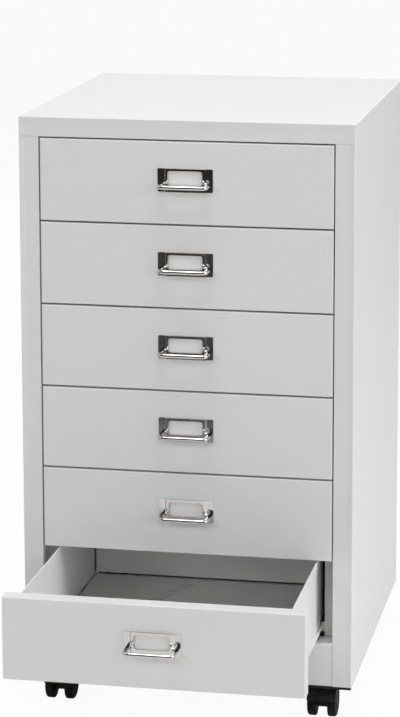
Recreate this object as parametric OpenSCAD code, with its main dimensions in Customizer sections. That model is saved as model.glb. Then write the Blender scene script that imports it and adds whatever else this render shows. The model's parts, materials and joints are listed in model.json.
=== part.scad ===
// Mobile pedestal: a steel cabinet with six drawers on four twin-wheel castors.
// X runs across the front, Y from front to back and Z up, and the floor is at Z = 0.
// It rests with the lowest drawer pulled part of the way out, and the other five shut.

/* [Cabinet] */
// Width of the cabinet over its side panels
body_w = 400; // [340:1:460]
// Depth of the cabinet from the drawer fronts to the rear edges of the sides
body_d = 430; // [415:1:520]
// Height of the cabinet from its underside to its top
body_h = 677; // [600:1:760]
// Thickness of the cabinet's steel sheet
sheet_t = 0.8; // [0.6:0.1:1.2]
// Outer radius of a bend in the sheet
bend_r = 1.6; // [1.4:0.1:2]
// Width of the flange on each side of the drawer fronts
post_w = 23.5; // [20:0.5:28]
// Height of the flange above the drawer fronts
band_h = 23.5; // [20:0.5:32]
// Depth of the return behind the inner edge of each front flange
lip_d = 12; // [8:0.5:13]
// Width of the strip along each post's outer edge that leans forward
post_crease_w = 7; // [4:0.5:10]
// Height of the strip along the top band's upper edge that leans forward
band_crease_w = 9.5; // [4:0.5:12]
// How far the flat face inside these strips is set back from the outer edges
crease_d = 0.7; // [0.3:0.1:0.8]
// Height of the rail under the lowest drawer
rail_h = 53; // [40:1:60]
// Depth of the ledge on top of that rail
ledge_d = 28; // [8:0.5:30]
// Gap between each end of that rail and the post beside it
rail_end_gap = 0.4; // [0.2:0.1:0.8]
// Distance of the back panel's outer face from the rear edges
back_recess = 3; // [2.5:0.5:6]
// Width of the flange at each rear edge that the back panel is screwed to
rear_flange_w = 14; // [12:1:20]
// Height of the turned-up edges of the base pan
pan_flange_h = 15; // [10:1:25]

/* [Drawer fronts] */
// Gap above and below each drawer front
front_gap = 2; // [1:0.25:3]
// Gap at each end of a drawer front
front_side_gap = 1.6; // [1:0.1:2.5]
// Depth of the folded drawer front
front_t = 19.5; // [18:0.5:22]
// Width of the returns that close the back of the front at its ends
front_end_return = 24; // [22:0.5:30]
// Width of the returns along the top and bottom of the front's back
front_edge_return = 14; // [12:0.5:18]
// How far the lowest drawer stands open at rest
drawer_open = 195; // [0:1:250]

/* [Drawer trays] */
// Clear distance of a tray from the side panel's outer face
tray_inset = 43; // [42:0.5:46]
// Length of a tray behind its front
tray_l = 358; // [340:1:365]
// Height of a tray's underside above the lower edge of its front
tray_lift = 9.5; // [9:0.25:12]
// How far the tray's sides stop below the top edge of the front
tray_drop = 0.75; // [0.5:0.25:4]
// Thickness of the tray's sheet
tray_t = 0.8; // [0.6:0.1:1]
// Height of the hem folded over outside the top of each side
hem_h = 9; // [6:0.5:12]
// Width of the slots along the tray's fold lines and of the gaps at its back wall
fold_slot_w = 2.2; // [1:0.1:3]
// Length of one slot along a fold line
fold_slot_l = 38; // [20:1:40]
// Length of the metal left between two slots
fold_bridge = 4; // [3:0.5:8]
// Length of one slot in the punched row on the floor
punch_l = 16; // [8:1:20]
// Width of one slot in the punched row
punch_w = 3.6; // [1.5:0.1:4]
// Distance from one punched slot to the next
punch_pitch = 8; // [6:0.5:10]
// Sideways step from one punched slot to the next
punch_step = 3.2; // [0:0.1:4]
// Distance of the last punched slot from the tray's back wall
punch_margin = 24; // [15:1:40]
// Distance of the last punched slot to the left of the tray's middle
punch_left = 29; // [20:1:60]

/* [Runners] */
// Distance from the side panel's outer face to the uprights' inner face
upright_inset = 37; // [36:0.5:37]
// Depth of the uprights from front to back
upright_d = 26; // [20:1:30]
// Width of the flange along the rear of each upright's outer edge
upright_flange_w = 12; // [8:1:16]
// Depth of a cabinet runner, from the uprights towards the tray
runner_d = 4.6; // [4:0.1:4.8]
// Height of a cabinet runner
runner_h = 11; // [10.5:0.5:12]
// Distance from the runner's underside to the underside of the tray's rail
runner_drop = 5.5; // [5:0.25:6]
// Thickness of the runners' steel
runner_t = 0.8; // [0.6:0.1:1]
// Thickness of the rail on the tray's side
rail_t = 1; // [0.8:0.1:1.2]
// Height of the rail's upright leg
rail_leg_h = 12; // [10:1:16]
// Length of the nylon glide in the runner's mouth
glide_l = 25; // [15:1:30]
// How much shorter a drawer's travel, from shut to its stop, is than its tray
travel_short = 58; // [48:1:98]
// Running clearance between a rail and what it slides in
slide_gap = 0.3; // [0.2:0.05:0.5]

/* [Handles] */
// Width of the handle plate
plate_w = 66; // [60:0.5:75]
// Height of the handle plate
plate_h = 28; // [26:0.5:34]
// Thickness of the handle plate's metal
plate_t = 1; // [0.8:0.1:1.2]
// Width of the raised frame round the label window, over the feet of its sloping sides
frame_w = 51; // [49:0.5:53]
// How far the raised frame stands above the plate's wings
frame_rise = 2.2; // [1.5:0.1:3]
// Width of the label window
window_w = 41.6; // [36:0.2:43]
// Height of the label window
window_h = 17; // [14:0.5:19]
// Distance from the plate's top edge to the window
window_top = 3; // [2.5:0.1:5]
// Corner radius of the label window
window_r = 3; // [1:0.5:4]
// Height of the plate's middle above the middle of the drawer front
plate_raise = 3.6; // [0:0.1:8]
// Thickness of the label card
card_t = 0.4; // [0.2:0.1:0.6]
// Diameter of the wire of the pull
pull_d = 5; // [4:0.25:6]
// Width of the pull over its wire
pull_w = 61.6; // [58:0.2:64]
// Distance from the drawer front to the middle of the pull's bar
pull_reach = 24; // [18:0.5:30]
// Radius of the pull's bends at the middle of the wire
pull_bend_r = 6.5; // [5:0.5:8]
// Distance from the plate's top edge down to the pull
pull_fall = 19.4; // [18:0.2:23]

/* [Castors] */
// Height of the cabinet's underside above the floor
castor_h = 46; // [46:0.5:60]
// Diameter of the wheels
wheel_d = 38; // [34:1:39]
// Width of one wheel
wheel_w = 10.4; // [9.6:0.2:14]
// Width of the housing between the wheels
web_w = 12.8; // [12:0.2:18]
// Side clearance between a wheel and the housing
wheel_gap = 0.6; // [0.4:0.1:1]
// Radius of the wheels' tread edges
tread_r = 3.2; // [2:0.2:4]
// Distance of the wheel axle in front of the swivel axis
trail = 14; // [10:0.5:16]
// Distance of the swivel axis from the cabinet's side
castor_in_x = 38; // [37:0.5:45]
// Distance of the swivel axis from the cabinet's front or rear edge
castor_in_y = 42; // [38:0.5:50]
// Width of the castor plate
castor_plate_w = 50; // [48:0.5:60]
// Length of the castor plate from front to back
castor_plate_l = 58; // [56:0.5:70]
// Thickness of the castor plate
castor_plate_t = 4; // [3.5:0.5:5]
// Diameter of the castor's stem
stem_d = 8; // [7:0.5:10]
// Diameter of the wheel axle
axle_d = 5; // [4:0.5:6]

/* [Hidden] */
$fn = 48;
drawer_count = 6;
drawers = [1:drawer_count];
// Castor names, each with its side (-1 left, 1 right) and end (-1 front, 1 rear)
corners = [
    ["front_left", -1, -1],
    ["front_right", 1, -1],
    ["rear_left", -1, 1],
    ["rear_right", 1, 1],
];

// Steps in which a small bend is drawn
bend_steps = 4;
// How far a cutting shape runs past the face that it cuts
over = 1;
// Radial clearance of a pin in its hole
fit_gap = 0.05;
// Wire of the pull through plate and front, and the head that holds it inside
spigot_d = 3.6;
rivet_d = 6.4;
rivet_t = 1;
pull_front = pull_reach + pull_d / 2;
// Planes of the cabinet: front, rear, underside and top
half_w = body_w / 2;
front_y = (drawer_open + pull_front - body_d) / 2;
rear_y = front_y + body_d;
// Plane of the posts', the band's and the bottom rail's flat face
face_y = front_y + crease_d;
base_z = castor_h;
top_z = base_z + body_h;
// Drawer fronts
front_w = body_w - 2 * post_w - 2 * front_side_gap;
stack_h = body_h - rail_h - band_h - (drawer_count + 1) * front_gap;
front_h = stack_h / drawer_count;
// Trays
tray_w = body_w - 2 * tray_inset;
tray_h = front_h - tray_lift - tray_drop;
travel = tray_l - travel_short;
punch_count = 10;
// Runners and what slides in them
upright_y = front_y + max(front_t, ledge_d) + 0.5;
runner_x = half_w - upright_inset;
runner_end = rear_y - back_recess - sheet_t - rear_flange_w;
glide_web_t = 0.8;
rail_reach = runner_x - runner_t - glide_web_t - slide_gap - tray_w / 2;
stop_t = 2.5;
// Handle
leg_x = (pull_w - pull_d) / 2;
frame_front = plate_t + frame_rise;
frame_half = min(frame_w / 2, leg_x - pull_d / 2 - fit_gap);
frame_foot = frame_half - plate_t / 2;
pull_z = plate_h / 2 - pull_fall;
card_margin = 1.6;
// Castors
wheel_r = wheel_d / 2;
castor_w = web_w + 2 * wheel_gap + 2 * wheel_w;
hood_gap = 0.8;
hood_t = 1.4;
hood_r = wheel_r + hood_gap + hood_t;
hub_d = 22;
swivel_gap = 0.3;
web_r = 8;
boss_d = 16;
boss_h = 18;
boss_gap = 2;
stem_l = 19;
plate_side_gap = 1.5;
plate_end_gap = 3;
screw_d = 4;
screw_head_d = 7.4;
screw_head_t = 2;
screw_gap = 0.3;
screw_l = 10;
screw_sink = 0.2;
// How far the wheel's blind bore and the axle in it stop short of its outer face
bore_end = 2;
axle_end = 2.4;
// Places of the screws in a castor plate, from its outer corner
castor_screw_x = [7, 43];
castor_screw_y = [15, 51];

// A block between the given ranges of X, Y and Z
module block(x, y, z) {
    translate([x[0], y[0], z[0]])
        cube([x[1] - x[0], y[1] - y[0], z[1] - z[0]]);
}

// The same shape on both sides of the middle
module both_sides() {
    children();
    mirror([1, 0, 0])
        children();
}

function unit(v) = v / norm(v);

// Points of an arc that rounds the corner b between a and c to radius r
function corner_arc(a, b, c, r) =
    let (u = unit(a - b), v = unit(c - b))
    let (half = acos(u * v) / 2)
    let (reach = r / tan(half))
    let (centre = b + unit(u + v) * r / sin(half))
    let (from = b + u * reach - centre, to = b + v * reach - centre)
    let (turn = 180 - 2 * half)
    [for (k = [0:bend_steps])
        let (t = k * turn / bend_steps)
        centre + (sin(turn - t) * from + sin(t) * to) / sin(turn)];

// An outline whose corners are rounded to the radii listed with them
function rounded(points, radii) =
    let (n = len(points))
    [for (i = [0:n - 1])
        each radii[i] <= 0 ? [points[i]]
            : corner_arc(points[(i + n - 1) % n], points[i], points[(i + 1) % n], radii[i])];

// Extrusions of an outline along Y (drawn in X and Z) and along X (drawn in Y and Z)
module along_y(y0, y1) {
    translate([0, y1, 0])
        rotate([90, 0, 0])
            linear_extrude(y1 - y0)
                children();
}

module along_x(x0, x1) {
    translate([x0, 0, 0])
        rotate([90, 0, 90])
            linear_extrude(x1 - x0)
                children();
}

// Height of the underside of a drawer front, counted from 1 at the top
function drawer_z(i) =
    base_z + rail_h + front_gap + (drawer_count - i) * (front_h + front_gap);

// Where a drawer stands at rest: only the lowest one is pulled out
function drawer_y(i) = i == drawer_count ? front_y - drawer_open : front_y;

// Solid in the outline of the bent shell, drawn in by the given distance, with a shallow
// pocket in its front whose sloping edges are the strips that lean forward
module shell_solid(inset) {
    x = half_w - inset;
    y = front_y + inset;
    z = top_z - inset;
    r = bend_r - inset;
    low = base_z - (inset > 0 ? over : 0);
    back = rear_y + (inset > 0 ? over : 0);
    flat_x = half_w - post_crease_w;
    out_x = half_w + over * post_crease_w / crease_d;
    out_z = top_z + over * band_crease_w / crease_d;
    difference() {
        intersection() {
            translate([0, 0, low])
                linear_extrude(top_z - low)
                    polygon(rounded([[-x, back], [-x, y], [x, y], [x, back]], [0, r, r, 0]));
            along_x(-half_w, half_w)
                polygon(rounded([[back, low], [y, low], [y, z], [back, z]], [0, 0, r, 0]));
            along_y(front_y, back)
                polygon(rounded([[-x, low], [-x, z], [x, z], [x, low]], [0, r, r, 0]));
        }
        intersection() {
            translate([0, 0, low - over])
                linear_extrude(out_z - low)
                    polygon([[-out_x, y - over], [-flat_x, y + crease_d], [flat_x, y + crease_d],
                        [out_x, y - over]]);
            along_x(-out_x, out_x)
                polygon([[y - over, low - over], [y + crease_d, low - over],
                    [y + crease_d, top_z - band_crease_w], [y - over, out_z]]);
        }
    }
}

module shell() {
    inner_x = half_w - post_w;
    inner_z = top_z - band_h;
    flange_y = rear_y - back_recess - sheet_t;
    seam_w = 0.3;
    color("lightgray") {
        difference() {
            shell_solid(0);
            shell_solid(sheet_t);
            block([-inner_x, inner_x], [front_y - over, front_y + lip_d], [base_z - over, inner_z]);
            both_sides()
                block([inner_x - over, half_w - sheet_t], [front_y - over, front_y + bend_r + crease_d],
                    [inner_z - seam_w, inner_z]);
        }
        both_sides()
            block([inner_x, inner_x + sheet_t], [front_y + sheet_t, front_y + lip_d],
                [base_z, inner_z - seam_w]);
        block([-half_w + post_crease_w, half_w - post_crease_w], [front_y + sheet_t, front_y + lip_d],
            [inner_z, inner_z + sheet_t]);
        difference() {
            block([-half_w + sheet_t, half_w - sheet_t], [flange_y - sheet_t, flange_y],
                [base_z + sheet_t, top_z - sheet_t]);
            block([-half_w + rear_flange_w, half_w - rear_flange_w],
                [flange_y - 2 * sheet_t, flange_y + sheet_t], [base_z, top_z - rear_flange_w]);
            back_screw_places(flange_y - sheet_t - over)
                cylinder(h = 2 * sheet_t + over, d = screw_d + 2 * screw_gap);
        }
    }
}

// Puts its children, which point along +Z, at the back panel's screws, pointing backwards
module back_screw_places(y) {
    x = half_w - sheet_t - rear_flange_w / 2;
    span = body_h - 2 * rear_flange_w;
    for (side = [-1, 1])
        for (k = [0:3])
            translate([side * x, y, base_z + rear_flange_w + k * span / 3])
                rotate([-90, 0, 0])
                    children();
}

module back_panel() {
    outer_y = rear_y - back_recess;
    x = half_w - sheet_t - screw_gap;
    color("lightgray")
        difference() {
            block([-x, x], [outer_y - sheet_t, outer_y],
                [base_z + sheet_t + screw_gap, top_z - sheet_t - screw_gap]);
            back_screw_places(outer_y - sheet_t - over)
                cylinder(h = sheet_t + 2 * over, d = screw_d + 2 * screw_gap);
        }
}

module back_screws() {
    outer_y = rear_y - back_recess;
    color("silver")
        back_screw_places(outer_y) {
            cylinder(h = screw_head_t, d = screw_head_d);
            translate([0, 0, -screw_l])
                cylinder(h = screw_l + screw_head_t / 2, d = screw_d);
        }
}

module base_pan() {
    x = half_w - sheet_t;
    y0 = front_y + lip_d + 1;
    y1 = rear_y - back_recess - 2 * sheet_t;
    color("lightgray")
        difference() {
            block([-x, x], [y0, y1], [base_z, base_z + pan_flange_h]);
            block([-x + sheet_t, x - sheet_t], [y0 + sheet_t, y1 - sheet_t],
                [base_z + sheet_t, base_z + pan_flange_h + over]);
            castor_places()
                cylinder(h = 3 * over, d = boss_d + 2 * screw_gap, center = true);
            castor_screw_places()
                cylinder(h = 3 * over, d = screw_d + 2 * screw_gap, center = true);
            back_screw_places(y1 - sheet_t - over)
                cylinder(h = sheet_t + 2 * over, d = screw_d + 2 * screw_gap);
        }
}

module bottom_rail() {
    x = half_w - post_w - rail_end_gap;
    top = base_z + rail_h;
    drop = 8;
    outline = [[face_y, base_z], [face_y, top], [front_y + ledge_d, top], [front_y + ledge_d, top - drop],
        [front_y + ledge_d - sheet_t, top - drop], [front_y + ledge_d - sheet_t, top - sheet_t],
        [face_y + sheet_t, top - sheet_t], [face_y + sheet_t, base_z + sheet_t],
        [front_y + lip_d + 1, base_z + sheet_t], [front_y + lip_d + 1, base_z]];
    inner_r = bend_r / 2;
    color("lightgray")
        along_x(-x, x)
            polygon(rounded(outline, [bend_r, bend_r, bend_r, 0, 0, inner_r, inner_r, inner_r, 0, 0]));
}

// A pair of uprights between two planes of Y: a front web, an inner leg that carries the
// runners, an outer leg welded to the side panel and a return behind the inner leg
module upright_pair(y0, y1) {
    x0 = runner_x;
    x1 = half_w - sheet_t;
    z0 = base_z + boss_h + boss_gap;
    both_sides()
        difference() {
            block([x0, x1], [y0, y1], [z0, top_z - bend_r]);
            block([x0 + sheet_t, x1 - sheet_t], [y0 + sheet_t, y1 - sheet_t], [z0 - over, top_z]);
            block([x0 + upright_flange_w, x1 - sheet_t], [y0 + sheet_t, y1 + over], [z0 - over, top_z]);
        }
}

module front_uprights() {
    color("silver")
        upright_pair(upright_y, upright_y + upright_d);
}

module rear_uprights() {
    color("silver")
        upright_pair(runner_end - upright_d, runner_end);
}

// Underside of the cabinet runner of a drawer
function runner_z(i) = drawer_z(i) + tray_lift - runner_drop;

// One cabinet runner on the right-hand side: a channel open towards the tray
module runner(i) {
    z = runner_z(i);
    x0 = runner_x - runner_d;
    difference() {
        block([x0, runner_x], [upright_y, runner_end], [z, z + runner_h]);
        block([x0 - over, runner_x - runner_t], [upright_y - over, runner_end + over],
            [z + runner_t, z + runner_h - runner_t]);
    }
}

module runners_right() {
    color("gainsboro")
        for (i = drawers)
            runner(i);
}

module runners_left() {
    color("gainsboro")
        mirror([1, 0, 0])
            for (i = drawers)
                runner(i);
}

// Nylon lining of a runner's mouth, with a slit in which the rail slides
module runner_glide(i) {
    z = runner_z(i);
    x0 = runner_x - runner_d;
    difference() {
        block([x0, runner_x - runner_t], [upright_y, upright_y + glide_l],
            [z + runner_t, z + runner_h - runner_t]);
        block([x0 - over, runner_x - runner_t - glide_web_t], [upright_y - over, upright_y + glide_l + over],
            [z + runner_drop - slide_gap, z + runner_drop + rail_t + slide_gap]);
    }
}

module runner_glides() {
    color("whitesmoke")
        both_sides()
            for (i = drawers)
                runner_glide(i);
}

// Folded front: an outer face, four deep edges and narrow returns at the back
module drawer_front(i) {
    y = drawer_y(i);
    z = drawer_z(i);
    x = front_w / 2;
    color("lightgray")
        difference() {
            front_solid(x, y, y + front_t, z, z + front_h, bend_r);
            front_solid(x - sheet_t, y + sheet_t, y + front_t - sheet_t, z + sheet_t, z + front_h - sheet_t,
                bend_r - sheet_t);
            block([-x + front_end_return, x - front_end_return],
                [y + front_t - 2 * sheet_t, y + front_t + over],
                [z + front_edge_return + tray_lift, z + front_h - front_edge_return]);
            for (side = [-1, 1])
                translate([side * leg_x, y - over, z + front_h / 2 + plate_raise + pull_z])
                    rotate([-90, 0, 0])
                        cylinder(h = sheet_t + 2 * over, d = spigot_d + 2 * fit_gap);
        }
}

// Box whose edges towards the front are rounded
module front_solid(x, y0, y1, z0, z1, r) {
    intersection() {
        translate([0, 0, z0])
            linear_extrude(z1 - z0)
                polygon(rounded([[-x, y1], [-x, y0], [x, y0], [x, y1]], [0, r, r, 0]));
        along_x(-x, x)
            polygon(rounded([[y1, z0], [y0, z0], [y0, z1], [y1, z1]], [0, r, r, 0]));
    }
}

// Folded tray: floor, two sides with hems, a front wall and a back wall, with slotted folds
module drawer_tray(i) {
    y0 = drawer_y(i) + front_t;
    y1 = y0 + tray_l;
    z0 = drawer_z(i) + tray_lift;
    z1 = z0 + tray_h;
    x = tray_w / 2;
    in_x = x - tray_t;
    in_y = y1 - 2 * tray_t;
    back_flange_w = 10;
    back_flange_h = 8;
    slot_count = floor((tray_l - fold_bridge) / (fold_slot_l + fold_bridge));
    color("silver") {
        difference() {
            union() {
                block([-x, x], [y0, y1], [z0, z0 + tray_t]);
                both_sides() {
                    block([in_x, x], [y0, y1], [z0, z1]);
                    block([x, x + tray_t], [y0, y1], [z1 - hem_h, z1]);
                    block([in_x - back_flange_w, in_x], [y1 - tray_t, y1], [z0, z1]);
                }
                block([-x, x], [y1 - tray_t, y1], [z0, z0 + back_flange_h]);
                block([-in_x, in_x], [y0, y0 + tray_t], [z0, z1]);
            }
            for (side = [-1, 1])
                for (k = [0:slot_count - 1])
                    translate([side * (in_x - fold_slot_w / 2), y1 - 2 * tray_t - (k + 0.5) * fold_slot_l
                        - k * fold_bridge, z0])
                        cube([fold_slot_w, fold_slot_l, 3 * over], center = true);
            for (k = [0:punch_count - 1])
                translate([-punch_left - k * punch_step, in_y - punch_margin - k * punch_pitch, z0])
                    cube([punch_l, punch_w, 3 * over], center = true);
            both_sides()
                block([in_x - fold_slot_w, in_x], [in_y, y1 + over],
                    [z0 + tray_t + fold_slot_w, z1 - back_flange_h]);
            block([-in_x + fold_bridge, in_x - fold_bridge], [in_y, y1 + over],
                [z0 + tray_t, z0 + tray_t + fold_slot_w]);
        }
        block([-in_x + fold_slot_w, in_x - fold_slot_w], [in_y, y1 - tray_t],
            [z0 + tray_t + fold_slot_w, z1]);
    }
}

// Rails riveted outside the tray: an upright leg, a sliding flange and a stop tab
module drawer_rails(i) {
    y0 = drawer_y(i) + front_t;
    y1 = y0 + tray_l;
    z0 = drawer_z(i) + tray_lift;
    x0 = tray_w / 2;
    leg_t = tray_t;
    tab_y = drawer_y(i) + upright_y - front_y + glide_l + slide_gap + travel;
    slot_z = [z0 - runner_drop + runner_t + slide_gap, z0 - runner_drop + runner_h - runner_t - slide_gap];
    color("gainsboro")
        both_sides() {
            block([x0, x0 + leg_t], [y0, y1], [z0, z0 + rail_leg_h]);
            block([x0, x0 + rail_reach], [y0 + 1, y1], [z0, z0 + rail_t]);
            block([runner_x - runner_d + slide_gap, x0 + rail_reach], [tab_y, tab_y + stop_t], slot_z);
        }
}

// Chrome plate with a raised frame, sloping at its sides, round the label window
module handle_plate(i) {
    y = drawer_y(i);
    z = drawer_z(i) + front_h / 2 + plate_raise;
    window_z = plate_h / 2 - window_top - window_h;
    color("silver")
        translate([0, y, z])
            difference() {
                union() {
                    along_y(-plate_t, 0)
                        polygon(plate_outline(plate_w, -plate_h / 2, plate_h / 2, 1.5));
                    translate([0, 0, -plate_h / 2])
                        linear_extrude(plate_h)
                            polygon([[-frame_half, 0], [-frame_half, -plate_t],
                                [-frame_half + frame_rise, -frame_front],
                                [frame_half - frame_rise, -frame_front],
                                [frame_half, -plate_t], [frame_half, 0]]);
                }
                translate([0, 0, -plate_h / 2 + plate_t])
                    linear_extrude(plate_h - 2 * plate_t)
                        polygon([[-frame_foot - over, over], [-frame_foot + frame_rise, -frame_rise],
                            [frame_foot - frame_rise, -frame_rise], [frame_foot + over, over]]);
                along_y(-frame_front - over, over)
                    polygon(plate_outline(window_w, window_z, window_z + window_h, window_r));
                for (side = [-1, 1])
                    translate([side * leg_x, -plate_t - over, pull_z])
                        rotate([-90, 0, 0])
                            cylinder(h = plate_t + 2 * over, d = spigot_d + 2 * fit_gap);
            }
}

function plate_outline(w, z0, z1, r) =
    rounded([[-w / 2, z0], [-w / 2, z1], [w / 2, z1], [w / 2, z0]], [r, r, r, r]);

// Card held behind the label window
module label_card(i) {
    w = 2 * (frame_foot - card_t) - card_margin;
    h = plate_h - 2 * plate_t - card_margin;
    color("white")
        translate([0, drawer_y(i), drawer_z(i) + front_h / 2 + plate_raise])
            block([-w / 2, w / 2], [-card_t, 0], [-h / 2, h / 2]);
}

// Bent wire whose two legs are riveted through the plate and the front
module pull(i) {
    straight = leg_x - pull_bend_r;
    leg = pull_reach - pull_bend_r - plate_t;
    color("silver")
        translate([0, drawer_y(i), drawer_z(i) + front_h / 2 + plate_raise + pull_z]) {
            translate([-straight, -pull_reach, 0])
                rotate([0, 90, 0])
                    cylinder(h = 2 * straight, d = pull_d);
            both_sides()
                translate([leg_x, 0, 0]) {
                    translate([-pull_bend_r, -pull_reach + pull_bend_r, 0])
                        rotate([0, 0, -90])
                            rotate_extrude(angle = 90)
                                translate([pull_bend_r, 0])
                                    circle(d = pull_d);
                    translate([0, -plate_t, 0])
                        rotate([90, 0, 0])
                            cylinder(h = leg, d = pull_d);
                    translate([0, sheet_t + rivet_t / 2, 0])
                        rotate([90, 0, 0])
                            cylinder(h = plate_t + sheet_t + rivet_t, d = spigot_d);
                    translate([0, sheet_t + rivet_t, 0])
                        rotate([90, 0, 0])
                            cylinder(h = rivet_t, d = rivet_d);
                }
        }
}

// Puts its children at the foot of each swivel axis, on the cabinet's underside
module castor_places() {
    for (c = corners)
        translate([c[1] * (half_w - castor_in_x), castor_y(c[2]), base_z])
            children();
}

function castor_y(end) = end < 0 ? front_y + castor_in_y : rear_y - castor_in_y;

// Mirrors a shape drawn at the front right-hand corner to all four corners
module four_corners() {
    for (sy = [0, 1])
        translate([0, (front_y + rear_y) / 2, 0])
            mirror([0, sy, 0])
                translate([0, -(front_y + rear_y) / 2, 0])
                    both_sides()
                        children();
}

module castor_screw_places() {
    x = half_w - plate_side_gap;
    y = front_y + plate_end_gap;
    four_corners()
        for (dx = castor_screw_x)
            for (dy = castor_screw_y)
                translate([x - dx, y + dy, base_z])
                    children();
}

module castor_plates() {
    x = half_w - plate_side_gap;
    y = front_y + plate_end_gap;
    z = base_z - castor_plate_t;
    color("#222222")
        difference() {
            union() {
                four_corners()
                    block([x - castor_plate_w, x], [y, y + castor_plate_l], [z, base_z]);
                castor_places()
                    cylinder(h = boss_h, d = boss_d);
            }
            castor_places()
                translate([0, 0, -castor_plate_t - over])
                    cylinder(h = castor_plate_t + over + stem_l - castor_plate_t, d = stem_d + 2 * fit_gap);
            castor_screw_places()
                translate([0, 0, -castor_plate_t - over]) {
                    cylinder(h = castor_plate_t + 2 * over, d = screw_d + 2 * screw_gap);
                    cylinder(h = screw_head_t + screw_sink + over, d = screw_head_d + 2 * screw_gap);
                }
        }
}

module castor_screws() {
    color("silver")
        castor_screw_places()
            translate([0, 0, -castor_plate_t + screw_sink]) {
                cylinder(h = screw_head_t, d = screw_head_d);
                cylinder(h = screw_l, d = screw_d);
            }
}

// Drawn with the wheel axle on the origin, running along X, and the swivel axis behind it
module castor_frame(c) {
    translate([c[1] * (half_w - castor_in_x), castor_y(c[2]) - trail, wheel_r])
        children();
}

// Housing: a web between the wheels, a hood over them, a hub and a stem
module castor_housing(c) {
    top = base_z - castor_plate_t - swivel_gap - wheel_r;
    hub_t = 2.2;
    hood_from = 20;
    hood_to = 165;
    far = 2 * hood_r;
    color("#222222")
        castor_frame(c)
            difference() {
                union() {
                    along_x(-web_w / 2, web_w / 2) {
                        circle(r = web_r);
                        intersection() {
                            circle(r = hood_r);
                            polygon([[-web_r, 0], [-hood_r, far / 2], [far, far / 2], [far, 0],
                                [web_r, 0], [0, -web_r]]);
                        }
                        polygon([[0, 0], [trail - hub_d / 2 + 1, top], [trail + hub_d / 2 - 1, top],
                            [trail + hub_d / 2 - 1, top - hub_t], [web_r, 0]]);
                    }
                    along_x(-castor_w / 2, castor_w / 2)
                        intersection() {
                            difference() {
                                circle(r = hood_r);
                                circle(r = hood_r - hood_t);
                            }
                            polygon([[0, 0], [far * cos(hood_from), far * sin(hood_from)], [far, far],
                                [-far, far], [far * cos(hood_to), far * sin(hood_to)]]);
                        }
                    translate([0, trail, top - hub_t])
                        cylinder(h = hub_t, d = hub_d);
                    translate([0, trail, top - hub_t])
                        cylinder(h = hub_t + swivel_gap + stem_l - 1, d = stem_d);
                }
                translate([-web_w, 0, 0])
                    rotate([0, 90, 0])
                        cylinder(h = 2 * web_w, d = axle_d + 2 * fit_gap);
            }
}

// Two wheels with rounded treads and a shallow dish in each outer face
module castor_wheels(c) {
    inner = web_w / 2 + wheel_gap;
    rim = 4.5;
    dish = 1;
    inner_r = 1.9;
    r = wheel_r;
    w = wheel_w;
    outline = [[0, w - dish], [0, 0], [r, 0], [r, w], [r - rim, w], [r - rim - dish, w - dish]];
    color("#1a1a1a")
        castor_frame(c)
            both_sides()
                translate([inner, 0, 0])
                    rotate([0, 90, 0])
                        difference() {
                            rotate_extrude()
                                polygon(rounded(outline, [0, 0, inner_r, tread_r, 0, 0]));
                            translate([0, 0, -over])
                                cylinder(h = w - bore_end + over, d = axle_d + fit_gap);
                        }
}

module castor_axle(c) {
    l = castor_w - 2 * axle_end;
    color("silver")
        castor_frame(c)
            translate([-l / 2, 0, 0])
                rotate([0, 90, 0])
                    cylinder(h = l, d = axle_d);
}

shell();
back_panel();
back_screws();
base_pan();
bottom_rail();
front_uprights();
rear_uprights();
runners_left();
runners_right();
runner_glides();
castor_plates();
castor_screws();
for (i = drawers) {
    drawer_front(i);
    drawer_tray(i);
    drawer_rails(i);
    handle_plate(i);
    pull(i);
    label_card(i);
}
for (c = corners) {
    castor_housing(c);
    castor_wheels(c);
    castor_axle(c);
}
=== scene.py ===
import json
import math

import bmesh
import bpy
from mathutils import Matrix, Vector

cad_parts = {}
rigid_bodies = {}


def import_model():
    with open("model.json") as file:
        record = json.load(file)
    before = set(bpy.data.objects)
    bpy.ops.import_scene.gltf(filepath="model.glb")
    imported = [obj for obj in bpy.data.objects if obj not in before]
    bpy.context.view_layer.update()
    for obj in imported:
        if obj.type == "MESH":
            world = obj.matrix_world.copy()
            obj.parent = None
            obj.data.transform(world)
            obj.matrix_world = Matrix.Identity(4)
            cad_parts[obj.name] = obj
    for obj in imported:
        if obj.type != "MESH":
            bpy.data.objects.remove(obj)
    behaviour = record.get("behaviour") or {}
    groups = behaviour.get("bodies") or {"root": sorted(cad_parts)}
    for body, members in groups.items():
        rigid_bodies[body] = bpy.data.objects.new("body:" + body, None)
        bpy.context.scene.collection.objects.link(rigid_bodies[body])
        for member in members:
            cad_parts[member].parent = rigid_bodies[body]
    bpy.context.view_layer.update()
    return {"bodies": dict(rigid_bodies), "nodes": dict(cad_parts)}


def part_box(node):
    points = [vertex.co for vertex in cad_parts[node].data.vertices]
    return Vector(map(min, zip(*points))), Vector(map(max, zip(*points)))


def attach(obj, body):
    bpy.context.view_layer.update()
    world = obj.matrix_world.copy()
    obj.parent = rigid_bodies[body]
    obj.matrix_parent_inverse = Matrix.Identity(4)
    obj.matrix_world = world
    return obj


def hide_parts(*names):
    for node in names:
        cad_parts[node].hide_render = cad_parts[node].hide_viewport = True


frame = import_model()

scene = bpy.context.scene
node_objects = frame["nodes"]
mm = 0.001

# The view: a long lens a little above the cabinet and to its right, as a catalogue
# photographer would stand. The shift keeps the lens nearly level.
lens_place = (0.613, -3.1095, 1.147)
lens_yaw = math.radians(11.21)
lens_pitch = math.radians(9.91)
lens_roll = math.radians(0.12)
lens_in_pixels = 2666.0
lens_shift = -0.2
frame_height = 717
sensor_width = 36.0

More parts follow.
